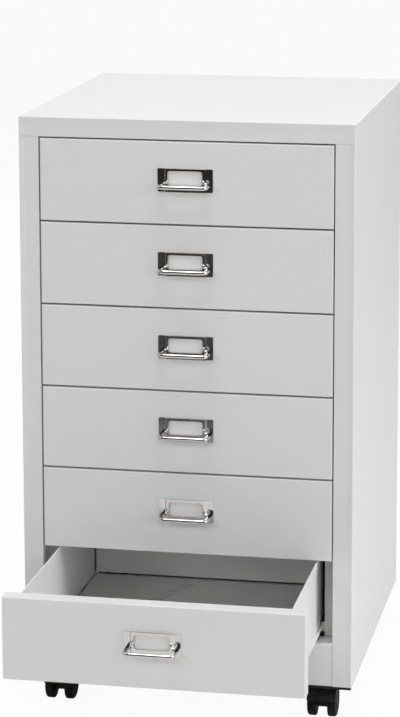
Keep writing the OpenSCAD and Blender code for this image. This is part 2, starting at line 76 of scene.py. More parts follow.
camera_data = bpy.data.cameras.new("studio_camera")
camera_data.sensor_width = sensor_width
camera_data.lens = lens_in_pixels / frame_height * sensor_width
camera_data.shift_y = lens_shift
camera = bpy.data.objects.new("studio_camera", camera_data)
scene.collection.objects.link(camera)
aim = Matrix.Rotation(lens_yaw, 4, "Z") @ Matrix.Rotation(math.pi / 2 - lens_pitch, 4, "X")
camera.matrix_world = Matrix.Translation(lens_place) @ aim @ Matrix.Rotation(-lens_roll, 4, "Z")
scene.camera = camera
scene.view_settings.view_transform = "Standard"

# The studio: white paper under the cabinet and a short way in front of it and beside it, a
# little even light all round, and soft lamps above, to the right, on both sides in front
# and behind. Past the paper the studio is dark, and only what is glossy shows that.


def add_lamp(name, place, target, size, power, mirrored=True):
    """A square soft lamp that faces a point; bright metal mirrors it or not."""
    data = bpy.data.lights.new(name, "AREA")
    data.shape = "SQUARE"
    data.size = size
    data.energy = power
    lamp = bpy.data.objects.new(name, data)
    lamp.visible_glossy = mirrored
    lamp.location = place
    lamp.rotation_euler = (Vector(target) - Vector(place)).to_track_quat("-Z", "Y").to_euler()
    scene.collection.objects.link(lamp)


add_lamp("top_lamp", (0.2, 0.3, 3.4), (0.0, 0.1, 0.4), 2.0, 23.0)
add_lamp("top_front_lamp", (0.2, -1.0, 3.4), (0.0, -0.1, 0.4), 2.0, 54.0)
add_lamp("right_lamp", (3.2, -0.4, 1.5), (0.1, 0.1, 0.4), 1.6, 52.0)
add_lamp("front_right_lamp", (1.9, -2.6, 1.1), (0.0, -0.1, 0.3), 1.0, 11.5, False)
add_lamp("front_left_lamp", (-1.6, -3.0, 1.5), (0.0, -0.1, 0.3), 1.0, 19.5, False)
add_lamp("back_lamp", (-1.4, 3.2, 1.8), (0.0, 0.2, 0.4), 1.6, 30.0, False)


class Tree:
    """Short ways to add and join the nodes of a tree."""

    def __init__(self, tree):
        self.tree = tree

    def add(self, kind, settings=(), **values):
        """A node with its settings and the values of its inputs, given by name or number."""
        node = self.tree.nodes.new(kind)
        for key, value in dict(settings).items():
            setattr(node, key, value)
        for key, value in values.items():
            socket = node.inputs[int(key[1:]) if key[1:].isdigit() else key.replace("_", " ")]
            if isinstance(value, bpy.types.NodeSocket):
                self.tree.links.new(value, socket)
            else:
                socket.default_value = value
        return node

    def join(self, source, target):
        """Joins an output to an input."""
        self.tree.links.new(source, target)


world = bpy.data.worlds.new("studio")
scene.world = world
world.use_nodes = True
sky = Tree(world.node_tree)
room_fill = 0.05
dark_room = 0.05
dark_up_to = 0.92
dark_top_fade = 0.1
ahead_from = -0.2
ahead_to = -0.35
paper_reach = 1.1
paper_fade = 0.4
paper_half_w = 1.1

rays = sky.add("ShaderNodeLightPath")
looking = sky.add("ShaderNodeTexCoord")
direction = sky.add("ShaderNodeSeparateXYZ", Vector=looking.outputs["Generated"])
ahead = sky.add("ShaderNodeMapRange", From_Min=ahead_from, From_Max=ahead_to,
                Value=direction.outputs["Y"])
below = sky.add("ShaderNodeMapRange", From_Min=dark_up_to, From_Max=dark_up_to - dark_top_fade,
                Value=direction.outputs["Z"])
dark_part = sky.add("ShaderNodeMath", {"operation": "MULTIPLY"}, _0=ahead.outputs[0],
                    _1=below.outputs[0])
glossy_dark = sky.add("ShaderNodeMath", {"operation": "MULTIPLY"}, _0=dark_part.outputs[0],
                      _1=rays.outputs["Is Glossy Ray"])
seen = sky.add("ShaderNodeMath", {"operation": "MAXIMUM"}, _0=rays.outputs["Is Camera Ray"],
               _1=rays.outputs["Is Glossy Ray"])
seen_through = sky.add("ShaderNodeMath", {"operation": "MAXIMUM"}, _0=seen.outputs[0],
                       _1=rays.outputs["Is Transmission Ray"])
bright = sky.add("ShaderNodeMix", A=room_fill, B=1.0, Factor=seen_through.outputs[0])
strength = sky.add("ShaderNodeMix", A=bright.outputs[0], B=dark_room, Factor=glossy_dark.outputs[0])
sky.join(strength.outputs[0], world.node_tree.nodes["Background"].inputs["Strength"])
world.node_tree.nodes["Background"].inputs["Color"].default_value = (1.0, 1.0, 1.0, 1.0)


def new_material(name):
    """A material, its tree and its Principled shader."""
    material = bpy.data.materials.new(name)
    material.use_nodes = True
    return material, Tree(material.node_tree), material.node_tree.nodes["Principled BSDF"]


paper_white = (0.9, 0.9, 0.9, 1.0)
off_paper_grey = (0.07, 0.07, 0.07, 1.0)
seen_as_white = 0.95
paper, paper_tree, paper_shader = new_material("studio_paper")
paper_shader.inputs["Roughness"].default_value = 0.9
paper_shader.inputs["Specular IOR Level"].default_value = 0.1
paper_rays = paper_tree.add("ShaderNodeLightPath")
paper_place = paper_tree.add("ShaderNodeSeparateXYZ",
                             Vector=paper_tree.add("ShaderNodeTexCoord").outputs["Object"])
paper_end = paper_tree.add("ShaderNodeMapRange", From_Min=-paper_reach,
                           From_Max=-paper_reach - paper_fade, Value=paper_place.outputs["Y"])
aside = paper_tree.add("ShaderNodeMath", {"operation": "ABSOLUTE"}, _0=paper_place.outputs["X"])
paper_side = paper_tree.add("ShaderNodeMapRange", From_Min=paper_half_w,
                            From_Max=paper_half_w + paper_fade, Value=aside.outputs[0])
off_paper = paper_tree.add("ShaderNodeMath", {"operation": "MAXIMUM"}, _0=paper_end.outputs[0],
                           _1=paper_side.outputs[0])
past_paper = paper_tree.add("ShaderNodeMath", {"operation": "MULTIPLY"}, _0=off_paper.outputs[0],
                            _1=paper_rays.outputs["Is Glossy Ray"])
paper_colour = paper_tree.add("ShaderNodeMix", {"data_type": "RGBA"}, _6=paper_white,
                              _7=off_paper_grey, Factor=past_paper.outputs[0])
paper_tree.join(paper_colour.outputs[2], paper_shader.inputs["Base Color"])
white_glow = paper_tree.add("ShaderNodeEmission", Strength=1.0)
pale_share = paper_tree.add("ShaderNodeMath", {"operation": "MULTIPLY"}, _0=seen_as_white,
                            _1=paper_rays.outputs["Is Camera Ray"])
paper_mix = paper_tree.add("ShaderNodeMixShader", _0=pale_share.outputs[0],
                           _1=paper_shader.outputs[0], _2=white_glow.outputs[0])
paper_tree.join(paper_mix.outputs[0], paper.node_tree.nodes["Material Output"].inputs["Surface"])

floor_half = 14.0
floor_mesh = bpy.data.meshes.new("studio_paper")
floor_mesh.from_pydata(
    [(-floor_half, -floor_half, 0), (floor_half, -floor_half, 0),
     (floor_half, floor_half, 0), (-floor_half, floor_half, 0)], [], [(0, 1, 2, 3)])
floor_mesh.materials.append(paper)
floor = bpy.data.objects.new("studio_paper", floor_mesh)
scene.collection.objects.link(floor)


# Powder coat, for every painted sheet: slow clouds in the colour, orange peel in the gloss
# and a fine grain in the relief.
def new_group(name, inputs, outputs):
    """A shader node group with the given inputs, as (name, kind, value), and outputs."""
    tree = bpy.data.node_groups.new(name, "ShaderNodeTree")
    for label, kind, value in inputs:
        tree.interface.new_socket(label, in_out="INPUT", socket_type=kind).default_value = value
    for label, kind in outputs:
        tree.interface.new_socket(label, in_out="OUTPUT", socket_type=kind)
    group = Tree(tree)
    return tree, group, group.add("NodeGroupInput").outputs, group.add("NodeGroupOutput").inputs


powder_coat, coat, coat_in, coat_out = new_group(
    "powder_coat",
    [("Vector", "NodeSocketVector", (0, 0, 0)), ("Paint", "NodeSocketColor", (0.75, 0.75, 0.75, 1)),
     ("Mottle", "NodeSocketFloat", 0.02), ("Gloss Spread", "NodeSocketFloat", 0.05),
     ("Roughness", "NodeSocketFloat", 0.42)],
    [("Color", "NodeSocketColor"), ("Roughness", "NodeSocketFloat"), ("Height", "NodeSocketFloat")])
clouds = coat.add("ShaderNodeTexNoise", Vector=coat_in["Vector"], Scale=7.0, Detail=3.0)
peel = coat.add("ShaderNodeTexNoise", Vector=coat_in["Vector"], Scale=420.0, Detail=1.0)
grain = coat.add("ShaderNodeTexNoise", Vector=coat_in["Vector"], Scale=2400.0, Detail=1.0)
lighter = coat.add("ShaderNodeMath", {"operation": "MULTIPLY_ADD"}, _0=coat_in["Mottle"],
                   _1=0.5, _2=1.0)
darker = coat.add("ShaderNodeMath", {"operation": "MULTIPLY_ADD"}, _0=coat_in["Mottle"],
                  _1=-0.5, _2=1.0)
shade = coat.add("ShaderNodeMapRange", Value=clouds.outputs["Fac"], From_Min=0.3, From_Max=0.7,
                 To_Min=darker.outputs[0], To_Max=lighter.outputs[0])
painted = coat.add("ShaderNodeVectorMath", {"operation": "SCALE"}, _0=coat_in["Paint"],
                   Scale=shade.outputs[0])
coat.join(painted.outputs["Vector"], coat_out["Color"])
uneven = coat.add("ShaderNodeMath", {"operation": "SUBTRACT"}, _0=peel.outputs["Fac"], _1=0.5)
gloss = coat.add("ShaderNodeMath", {"operation": "MULTIPLY_ADD"}, _0=uneven.outputs[0],
                 _1=coat_in["Gloss Spread"], _2=coat_in["Roughness"])
coat.join(gloss.outputs[0], coat_out["Roughness"])
relief = coat.add("ShaderNodeMath", {"operation": "MULTIPLY_ADD"}, _0=grain.outputs["Fac"], _1=0.3,
                  _2=peel.outputs["Fac"])
coat.join(relief.outputs[0], coat_out["Height"])


def finish_with(tree, shader, group_tree, values, bump, bump_distance):
    """Puts an effect group before a shader: its colour, roughness and height where it has them."""
    place = tree.add("ShaderNodeTexCoord")
    node = tree.add("ShaderNodeGroup", {"node_tree": group_tree}, Vector=place.outputs["Object"])
    for key, value in values.items():
        node.inputs[key].default_value = value
    if "Color" in node.outputs:
        tree.join(node.outputs["Color"], shader.inputs["Base Color"])
    if "Roughness" in node.outputs:
        tree.join(node.outputs["Roughness"], shader.inputs["Roughness"])
    dent = tree.add("ShaderNodeBump", Strength=bump, Distance=bump_distance,
                    Height=node.outputs["Height"])
    tree.join(dent.outputs["Normal"], shader.inputs["Normal"])


def paint_material(name, paint, roughness, mottle=0.02):
    """Powder coat in the given colour."""
    material, tree, shader = new_material(name)
    finish_with(tree, shader, powder_coat,
                {"Paint": (*paint, 1.0), "Roughness": roughness, "Mottle": mottle},
                bump=0.25, bump_distance=0.02 * mm)
    return material


def dress(node, material):
    """Gives a CAD node's object its finished material."""
    for slot in node_objects[node].material_slots:
        slot.material = material


# Cabinet shell: one bent steel sheet makes the top, both sides and the flanges round the
# drawer fronts, whose edges are turned in. It is powder-coated light grey, and its shape
# is the frame's own.
cabinet_paint = paint_material("cabinet_powder_coat", (0.76, 0.76, 0.76), 0.46)
dress("shell", cabinet_paint)


# Parts bent or moulded with soft edges: each is the frame's own shape with its outer
# corners rounded, as a press brake, a stamping tool or a mould leaves them.
merge_reach = 0.01 * mm
flat_angle = math.radians(0.5)
corner_angle = math.radians(40.0)
sharp_angle = math.radians(38.0)
thin_sheet_edge = 0.15 * mm
rail_edge = 0.2 * mm
upright_edge = 0.25 * mm
plate_edge = 0.3 * mm
moulded_edge = 0.4 * mm


def own_mesh(name, mesh, body, replaced):
    """Makes a piece of a mesh, with its flats shaded flat, and gives it to its body."""
    mesh.shade_smooth()
    mesh.set_sharp_from_angle(angle=sharp_angle)
    piece = bpy.data.objects.new(name, mesh)
    scene.collection.objects.link(piece)
    even = piece.modifiers.new("even_flats", "WEIGHTED_NORMAL")
    even.weight = 100
    even.keep_sharp = True
    piece.data = bpy.data.meshes.new_from_object(
        piece.evaluated_get(bpy.context.evaluated_depsgraph_get()))
    piece.modifiers.clear()
    piece.data.name = name
    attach(piece, body)
    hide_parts(*replaced)


def add_piece(name, shape, body, material, replaced):
    """Makes a piece of a bmesh, smooth but for its sharp corners, and gives it to its body."""
    mesh = bpy.data.meshes.new(name)
    shape.to_mesh(mesh)
    shape.free()
    mesh.materials.clear()
    mesh.materials.append(material)
    own_mesh(name, mesh, body, replaced)


def soft_edged(node, body, material, radius):
    """A copy of a CAD node with rounded corners, which stands for it."""
    shape = bmesh.new()
    shape.from_mesh(node_objects[node].data)
    bmesh.ops.remove_doubles(shape, verts=shape.verts, dist=merge_reach)
    bmesh.ops.dissolve_limit(shape, angle_limit=flat_angle, verts=shape.verts, edges=shape.edges)
    corners = [e for e in shape.edges if e.is_manifold and e.calc_face_angle() > corner_angle]
    bmesh.ops.bevel(shape, geom=corners, offset=radius, offset_type="OFFSET", segments=2,
                    profile=0.5, affect="EDGES", clamp_overlap=True)
    add_piece(node + "_finished", shape, body, material, [node])


# Base pan, back panel and the rail under the lowest drawer: flat and bent sheets welded or
# screwed into the shell, in the same paint. Uprights behind the posts carry the runners.
# The uprights' coat is the shell's light grey made a little lighter: painted light that lifts the
# shade the uprights stand in behind the posts.
inner_paint_shade_lifted = paint_material("inner_powder_coat_shade_lifted", (0.78, 0.78, 0.775), 0.5)
dress("back_panel", cabinet_paint)
dress("base_pan", cabinet_paint)
soft_edged("bottom_rail", "cabinet", cabinet_paint, rail_edge)
soft_edged("front_uprights", "cabinet", inner_paint_shade_lifted, upright_edge)
soft_edged("rear_uprights", "cabinet", inner_paint_shade_lifted, upright_edge)

# Runners: zinc-plated steel strip, rolled to a channel and welded to the uprights. The
# rails that slide in them are angles fixed outside the trays, in the trays' paint.
zinc_plate, zinc, zinc_in, zinc_out = new_group(
    "zinc_plate",
    [("Vector", "NodeSocketVector", (0, 0, 0)), ("Metal", "NodeSocketColor", (0.7, 0.71, 0.72, 1)),
     ("Rolling", "NodeSocketVector", (600.0, 12.0, 600.0))],
    [("Color", "NodeSocketColor"), ("Roughness", "NodeSocketFloat"), ("Height", "NodeSocketFloat")])
spangle = zinc.add("ShaderNodeTexVoronoi", Vector=zinc_in["Vector"], Scale=240.0)
rolled = zinc.add("ShaderNodeVectorMath", {"operation": "MULTIPLY"}, _0=zinc_in["Vector"],
                  _1=zinc_in["Rolling"])
streaks = zinc.add("ShaderNodeTexNoise", Vector=rolled.outputs["Vector"], Scale=1.0, Detail=3.0)
crystal = zinc.add("ShaderNodeSeparateColor", Color=spangle.outputs["Color"])
zinc_shade = zinc.add("ShaderNodeMapRange", Value=crystal.outputs[0], To_Min=0.88, To_Max=1.06)
zinc_colour = zinc.add("ShaderNodeVectorMath", {"operation": "SCALE"}, _0=zinc_in["Metal"],
                       Scale=zinc_shade.outputs[0])
zinc.join(zinc_colour.outputs["Vector"], zinc_out["Color"])
zinc_rough = zinc.add("ShaderNodeMapRange", Value=streaks.outputs["Fac"], From_Min=0.3,
                      From_Max=0.7, To_Min=0.26, To_Max=0.42)
zinc.join(zinc_rough.outputs[0], zinc_out["Roughness"])
zinc.join(streaks.outputs["Fac"], zinc_out["Height"])


def zinc_material(name, rolling):
    """Zinc plate whose streaks run along the axis with the least scale."""
    material, tree, shader = new_material(name)
    shader.inputs["Metallic"].default_value = 1.0
    finish_with(tree, shader, zinc_plate, {"Rolling": rolling}, bump=0.2, bump_distance=0.01 * mm)
    return material


runner_zinc = zinc_material("runner_zinc", (600.0, 12.0, 600.0))
for runners in ("runners_left", "runners_right"):
    soft_edged(runners, "cabinet", runner_zinc, thin_sheet_edge)

# Glides: a lining of natural nylon in the mouth of each runner, with a slit in which the
# rail slides.
moulded_grain, grained, grained_in, grained_out = new_group(
    "moulded_grain",
    [("Vector", "NodeSocketVector", (0, 0, 0)),
     ("Plastic", "NodeSocketColor", (0.03, 0.03, 0.03, 1)),
     ("Grain Scale", "NodeSocketFloat", 1500.0), ("Roughness", "NodeSocketFloat", 0.45),
     ("Dust Height", "NodeSocketFloat", 0.0), ("Dust", "NodeSocketColor", (0.1, 0.095, 0.085, 1))],
    [("Color", "NodeSocketColor"), ("Roughness", "NodeSocketFloat"), ("Height", "NodeSocketFloat")])
pits = grained.add("ShaderNodeTexNoise", Vector=grained_in["Vector"],
                   Scale=grained_in["Grain Scale"], Detail=2.0)
flow = grained.add("ShaderNodeTexNoise", Vector=grained_in["Vector"], Scale=60.0, Detail=2.0)
height_up = grained.add("ShaderNodeSeparateXYZ", Vector=grained_in["Vector"])
dusty = grained.add("ShaderNodeMapRange", Value=height_up.outputs["Z"],
                    From_Min=grained_in["Dust Height"], From_Max=0.0, To_Max=0.5)
dust_patches = grained.add("ShaderNodeMath", {"operation": "MULTIPLY"}, _0=dusty.outputs[0],
                           _1=flow.outputs["Fac"])
dusted = grained.add("ShaderNodeMix", {"data_type": "RGBA"}, Factor=dust_patches.outputs[0],
                     _6=grained_in["Plastic"], _7=grained_in["Dust"])
grained.join(dusted.outputs[2], grained_out["Color"])
sheen = grained.add("ShaderNodeMapRange", Value=flow.outputs["Fac"], To_Min=-0.08, To_Max=0.08)
grained_rough = grained.add("ShaderNodeMath", {"operation": "ADD"}, _0=sheen.outputs[0],
                            _1=grained_in["Roughness"])
grained.join(grained_rough.outputs[0], grained_out["Roughness"])
grained.join(pits.outputs["Fac"], grained_out["Height"])


def plastic_material(name, plastic, roughness, grain_scale=1500.0, dust_height=-1.0, shine=0.5):
    """Moulded plastic, dusty below a height above the floor."""
    material, tree, shader = new_material(name)
    shader.inputs["Specular IOR Level"].default_value = shine
    finish_with(tree, shader, moulded_grain,
                {"Plastic": (*plastic, 1.0), "Roughness": roughness, "Grain Scale": grain_scale,
                 "Dust Height": dust_height},
                bump=0.3, bump_distance=0.03 * mm)
    return material


natural_nylon = plastic_material("natural_nylon", (0.8, 0.78, 0.72), 0.4)
soft_edged("runner_glides", "cabinet", natural_nylon, rail_edge)

# Drawers: a folded front, with a tray of thinner sheet welded behind it. The tray's side
# edges are hemmed, its folds are slotted, and its floor has a punched row for dividers.
tray_paint = paint_material("tray_powder_coat", (0.785, 0.785, 0.78), 0.42, mottle=0.03)
drawer_names = [name for name in frame["bodies"] if name.startswith("drawer_")]
for drawer in drawer_names:
    soft_edged(drawer + "_front", drawer, cabinet_paint, thin_sheet_edge)
    soft_edged(drawer + "_tray", drawer, tray_paint, thin_sheet_edge)
    soft_edged(drawer + "_rails", drawer, tray_paint, thin_sheet_edge)

# Label plate: pressed steel, bright chrome plated, with a raised frame round its window
# and a flat wing at each side, held on the front by the pull's two rivets.
chrome_finish, bright_plate, bright_in, bright_out = new_group(
    "chrome_finish",
    [("Vector", "NodeSocketVector", (0, 0, 0)), ("Roughness", "NodeSocketFloat", 0.07)],
    [("Roughness", "NodeSocketFloat"), ("Height", "NodeSocketFloat")])
polish = bright_plate.add("ShaderNodeTexNoise", Vector=bright_in["Vector"], Scale=300.0, Detail=3.0)
swirl = bright_plate.add("ShaderNodeTexNoise", Vector=bright_in["Vector"], Scale=60.0, Detail=1.0)
haze = bright_plate.add("ShaderNodeMapRange", Value=polish.outputs["Fac"], From_Min=0.4,
                        From_Max=0.8, To_Min=0.0, To_Max=0.06)
chrome_rough = bright_plate.add("ShaderNodeMath", {"operation": "ADD"}, _0=haze.outputs[0],
                                _1=bright_in["Roughness"])
bright_plate.join(chrome_rough.outputs[0], bright_out["Roughness"])
bright_plate.join(swirl.outputs["Fac"], bright_out["Height"])
chrome, chrome_tree, chrome_shader = new_material("bright_chrome")
chrome_shader.inputs["Base Color"].default_value = (0.66, 0.64, 0.62, 1.0)
chrome_shader.inputs["Metallic"].default_value = 1.0
finish_with(chrome_tree, chrome_shader, chrome_finish, {"Roughness": 0.06},
            bump=0.15, bump_distance=0.05 * mm)
for drawer in drawer_names:
    soft_edged(drawer + "_handle_plate", drawer, chrome, plate_edge)

# Label card: a slip of plain off-white card, sprung a little behind the plate's window.
card_bow = 0.9 * mm
card_columns = 16
card_rows = 8
card_stock, card_tree, card_shader = new_material("card_stock")
card_fibre, fibre, fibre_in, fibre_out = new_group(
    "card_fibre",
    [("Vector", "NodeSocketVector", (0, 0, 0)),
     ("Stock", "NodeSocketColor", (0.85, 0.84, 0.83, 1))],
    [("Color", "NodeSocketColor"), ("Height", "NodeSocketFloat")])
stretch = fibre.add("ShaderNodeVectorMath", {"operation": "MULTIPLY"}, _0=fibre_in["Vector"],
                    _1=(700.0, 700.0, 2600.0))
threads = fibre.add("ShaderNodeTexNoise", Vector=stretch.outputs["Vector"], Scale=1.0, Detail=4.0)
fibre_shade = fibre.add("ShaderNodeMapRange", Value=threads.outputs["Fac"], To_Min=0.94,
                        To_Max=1.04)
fibre_colour = fibre.add("ShaderNodeVectorMath", {"operation": "SCALE"}, _0=fibre_in["Stock"],
                         Scale=fibre_shade.outputs[0])
fibre.join(fibre_colour.outputs["Vector"], fibre_out["Color"])
fibre.join(threads.outputs["Fac"], fibre_out["Height"])
card_shader.inputs["Roughness"].default_value = 0.85
finish_with(card_tree, card_shader, card_fibre, {}, bump=0.3, bump_distance=0.03 * mm)
for drawer in drawer_names:
    low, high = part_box(drawer + "_label_card")
    slip = bmesh.new()
    sides = []
    for face_y in (low[1], high[1]):
        rows = []
        for r in range(card_rows + 1):
            z = low[2] + (high[2] - low[2]) * r / card_rows
            row = []
            for c in range(card_columns + 1):
                along = c / card_columns
                bow = card_bow * math.sin(math.pi * along)
                row.append(slip.verts.new((low[0] + (high[0] - low[0]) * along, face_y - bow, z)))
            rows.append(row)
        sides.append(rows)
    front_side, back_side = sides
    for r in range(card_rows):
        for c in range(card_columns):
            slip.faces.new((front_side[r][c], front_side[r][c + 1], front_side[r + 1][c + 1],
                            front_side[r + 1][c]))
            slip.faces.new((back_side[r][c], back_side[r + 1][c], back_side[r + 1][c + 1],
                            back_side[r][c + 1]))
    around = [(0, c) for c in range(card_columns)]
    around += [(r, card_columns) for r in range(card_rows)]
    around += [(card_rows, c) for c in range(card_columns, 0, -1)]
    around += [(r, 0) for r in range(card_rows, 0, -1)]
    for (r0, c0), (r1, c1) in zip(around, around[1:] + around[:1]):
        slip.faces.new((front_side[r0][c0], back_side[r0][c0], back_side[r1][c1],
                        front_side[r1][c1]))
    bmesh.ops.recalc_face_normals(slip, faces=slip.faces)
    add_piece(drawer + "_label_slip", slip, drawer, card_stock, [drawer + "_label_card"])

# Pull: one piece of chromed wire with two bends, whose ends are turned down to spigots that
# pass through plate and front and are riveted over on the inside.
wire_d = 5.0 * mm
wire_bend_r = 6.5 * mm
rivet_d = 6.4 * mm
rivet_t = 1.0 * mm
round_steps = 24
bend_steps = 10
spigot_l = 2.8 * mm
spigot_d = 3.6 * mm


def new_build(name, inputs):
    """A geometry tree with the given inputs, as (name, kind, value), after the geometry itself."""
    tree = bpy.data.node_groups.new(name, "GeometryNodeTree")
    tree.interface.new_socket("Geometry", in_out="INPUT", socket_type="NodeSocketGeometry")
    for label, kind, value in inputs:
        socket = tree.interface.new_socket(label, in_out="INPUT", socket_type=kind)
        if value is not None:
            socket.default_value = value
    tree.interface.new_socket("Geometry", in_out="OUTPUT", socket_type="NodeSocketGeometry")
    build = Tree(tree)
    return tree, build, build.add("NodeGroupInput").outputs, build.add("NodeGroupOutput").inputs


def grow(name, points, edges, tree, values):
    """Runs a geometry tree on some points and returns the result as a plain mesh."""
    seed = bpy.data.meshes.new(name)
    seed.from_pydata(points, edges, [])
    carrier = bpy.data.objects.new(name + "_carrier", seed)
    scene.collection.objects.link(carrier)
    modifier = carrier.modifiers.new("build", "NODES")
    modifier.node_group = tree
    for item in tree.interface.items_tree:
        if item.item_type == "SOCKET" and item.in_out == "INPUT" and item.name in values:
            modifier[item.identifier] = values[item.name]
    carrier.update_tag()
    depsgraph = bpy.context.evaluated_depsgraph_get()
    mesh = bpy.data.meshes.new_from_object(carrier.evaluated_get(depsgraph))
    bpy.data.objects.remove(carrier)
    mesh.name = name
    return mesh


wire_tree, wire, wire_in, wire_out = new_build(
    "bent_wire",
    [("Wire Diameter", "NodeSocketFloat", 0.005), ("Bend Radius", "NodeSocketFloat", 0.0065),
     ("Spigot Diameter", "NodeSocketFloat", 0.0036), ("Spigot Length", "NodeSocketFloat", 0.0028),
     ("Head Diameter", "NodeSocketFloat", 0.0064), ("Head Thickness", "NodeSocketFloat", 0.001),
     ("Finish", "NodeSocketMaterial", None)])


def half_of(build, socket):
    """Half of a value in a geometry tree."""
    return build.add("ShaderNodeMath", {"operation": "MULTIPLY"}, _0=socket, _1=0.5).outputs[0]


route = wire.add("GeometryNodeMeshToCurve", Mesh=wire_in["Geometry"])
bent = wire.add("GeometryNodeFilletCurve", Curve=route.outputs[0], Radius=wire_in["Bend Radius"])
bent.mode = "POLY"
bent.inputs["Count"].default_value = bend_steps
section = wire.add("GeometryNodeCurvePrimitiveCircle", Resolution=round_steps,
                   Radius=half_of(wire, wire_in["Wire Diameter"]))
rod = wire.add("GeometryNodeCurveToMesh", Curve=bent.outputs[0], Profile_Curve=section.outputs[0])
rod.inputs["Fill Caps"].default_value = True
quarter_turn = (math.pi / 2, 0.0, 0.0)
spigot = wire.add("GeometryNodeMeshCylinder", Vertices=round_steps,
                  Radius=half_of(wire, wire_in["Spigot Diameter"]), Depth=wire_in["Spigot Length"])
spigot_middle = wire.add("ShaderNodeCombineXYZ", Y=half_of(wire, wire_in["Spigot Length"]))
spigot_placed = wire.add("GeometryNodeTransform", Geometry=spigot.outputs["Mesh"],
                         Translation=spigot_middle.outputs[0], Rotation=quarter_turn)
head = wire.add("GeometryNodeMeshCylinder", Vertices=round_steps,
                Radius=half_of(wire, wire_in["Head Diameter"]), Depth=wire_in["Head Thickness"])
head_y = wire.add("ShaderNodeMath", {"operation": "SUBTRACT"}, _0=wire_in["Spigot Length"],
                  _1=half_of(wire, wire_in["Head Thickness"]))
head_middle = wire.add("ShaderNodeCombineXYZ", Y=head_y.outputs[0])
head_placed = wire.add("GeometryNodeTransform", Geometry=head.outputs["Mesh"],
                       Translation=head_middle.outputs[0], Rotation=quarter_turn)
rivet = wire.add("GeometryNodeJoinGeometry")
wire.join(spigot_placed.outputs[0], rivet.inputs[0])
wire.join(head_placed.outputs[0], rivet.inputs[0])
ends = wire.add("GeometryNodeCurveEndpointSelection")
tips = wire.add("GeometryNodeInstanceOnPoints", Points=route.outputs[0], Instance=rivet.outputs[0],
                Selection=ends.outputs[0])
whole_wire = wire.add("GeometryNodeJoinGeometry")
wire.join(rod.outputs[0], whole_wire.inputs[0])
wire.join(tips.outputs[0], whole_wire.inputs[0])
wire_real = wire.add("GeometryNodeRealizeInstances", Geometry=whole_wire.outputs[0])
wire_clad = wire.add("GeometryNodeSetMaterial", Geometry=wire_real.outputs[0],
                     Material=wire_in["Finish"])
wire.join(wire_clad.outputs[0], wire_out["Geometry"])

for drawer in drawer_names:
    low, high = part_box(drawer + "_pull")
    leg_x = high[0] - rivet_d / 2
    bar_y = low[1] + wire_d / 2
    foot_y = high[1] - spigot_l
    bar_z = (low[2] + high[2]) / 2
    corners = [(-leg_x, foot_y, bar_z), (-leg_x, bar_y, bar_z),
               (leg_x, bar_y, bar_z), (leg_x, foot_y, bar_z)]
    bow = grow(drawer + "_bow", corners, [(0, 1), (1, 2), (2, 3)], wire_tree,
               {"Wire Diameter": wire_d, "Bend Radius": wire_bend_r, "Spigot Diameter": spigot_d,
                "Spigot Length": spigot_l, "Head Diameter": rivet_d, "Head Thickness": rivet_t,
                "Finish": chrome})
    own_mesh(drawer + "_bow", bow, drawer, [drawer + "_pull"])

# Screws: zinc-plated pan heads with a cross recess. Eight hold the back panel, and four
# hold each castor plate under the base pan.
head_d = 7.4 * mm
head_t = 2.0 * mm
shank_d = 4.0 * mm
shank_l = 10.0 * mm
recess_w = 0.9 * mm
recess_l = 4.2 * mm
recess_deep = 1.1 * mm
screw_edge_r = 1.2 * mm
tip_chamfer = 0.4 * mm
seam_reach = 0.005 * mm
screw_steps = 32


def lathe(profile, steps):
    """Turns an outline, given as radius and height from the axis out and back, round Z."""
    turned = bmesh.new()
    points = [turned.verts.new((r, 0.0, h)) for r, h in profile]
    edges = [turned.edges.new(pair) for pair in zip(points, points[1:])]
    bmesh.ops.spin(turned, geom=points + edges, cent=(0, 0, 0), axis=(0, 0, 1), angle=2 * math.pi,
                   steps=steps, use_duplicate=False)
    bmesh.ops.remove_doubles(turned, verts=turned.verts, dist=seam_reach)
    bmesh.ops.recalc_face_normals(turned, faces=turned.faces)
    return turned


def round_corner(centre, radius, start, end, steps=5):
    """Points of an arc between two angles in degrees, counted from outwards to upwards."""
    return [(centre[0] + radius * math.cos(math.radians(start + (end - start) * k / steps)),
             centre[1] + radius * math.sin(math.radians(start + (end - start) * k / steps)))
            for k in range(steps + 1)]


screw_profile = [(0.0, -shank_l), (shank_d / 2 - tip_chamfer, -shank_l),
                 (shank_d / 2, -shank_l + tip_chamfer), (shank_d / 2, 0.0), (head_d / 2, 0.0)]
screw_profile += round_corner((head_d / 2 - screw_edge_r, head_t - screw_edge_r),
                              screw_edge_r, 0, 90)
screw_profile += [(0.0, head_t)]
screw_mesh = bpy.data.meshes.new("pan_head_screw")
screw_shape = lathe(screw_profile, screw_steps)
screw_shape.to_mesh(screw_mesh)
screw_shape.free()
screw_blank = bpy.data.objects.new("pan_head_screw", screw_mesh)
scene.collection.objects.link(screw_blank)
cross = bmesh.new()
for size in ((recess_l, recess_w), (recess_w, recess_l)):
    shape = Matrix.Translation((0, 0, head_t)) @ Matrix.Diagonal((*size, 2 * recess_deep, 1.0))
    bmesh.ops.create_cube(cross, size=1.0, matrix=shape)
cross_mesh = bpy.data.meshes.new("cross_recess")
cross.to_mesh(cross_mesh)
cross.free()
cross_cutter = bpy.data.objects.new("cross_recess", cross_mesh)
scene.collection.objects.link(cross_cutter)
cut = screw_blank.modifiers.new("recess", "BOOLEAN")
cut.operation = "DIFFERENCE"
cut.solver = "EXACT"
cut.use_self = True
cut.object = cross_cutter
recessed = bpy.data.meshes.new_from_object(
    screw_blank.evaluated_get(bpy.context.evaluated_depsgraph_get()))
screw_blank.modifiers.clear()
screw_blank.data = recessed
bpy.data.objects.remove(cross_cutter)

